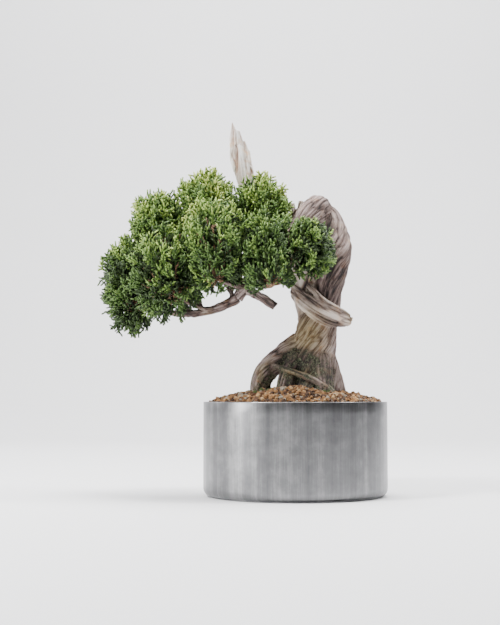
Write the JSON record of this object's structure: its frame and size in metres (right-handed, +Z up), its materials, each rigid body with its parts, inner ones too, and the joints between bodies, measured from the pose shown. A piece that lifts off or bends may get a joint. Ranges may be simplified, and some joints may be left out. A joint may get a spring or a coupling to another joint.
{
  "type": "potted juniper bonsai",
  "caption": "Shohin juniper bonsai with a twisted trunk, bleached dead top and a wide crown swept to the left, in a low round metal pot.",
  "frame": {"origin": "centre of the pot's flat underside", "axes": "+Z up, +X to the right of the pictured front, -Y towards the viewer"},
  "size_m": [0.2199, 0.14, 0.2916],
  "materials": {
    "pot_metal": "turned, brushed",
    "soil": "granular fired clay",
    "bark": "stringy bark",
    "deadwood": "bleached bare wood",
    "foliage": "scale leaves on fine twigs"
  },
  "bodies": {
    "root": {"pot": "pot_metal", "soil": "soil", "trunk": "bark", "dead_apex": "deadwood", "bough_descending": "bark", "bough_left": "bark", "bough_stub": "bark", "bough_top": "bark", "bough_top_right": "bark", "bough_right": "bark", "bough_front": "bark", "bough_front_right": "bark", "bough_back": "bark", "bough_upper_left": "bark", "bough_front_left": "bark", "bough_back_left": "bark", "bough_back_right": "bark", "foliage_left_tip": "foliage", "foliage_upper_left": "foliage", "foliage_top": "foliage", "foliage_top_right": "foliage", "foliage_right": "foliage", "foliage_front": "foliage", "foliage_front_left": "foliage", "foliage_front_right": "foliage", "foliage_back": "foliage", "foliage_back_left": "foliage", "foliage_back_right": "foliage"}
  },
  "joints": []
}
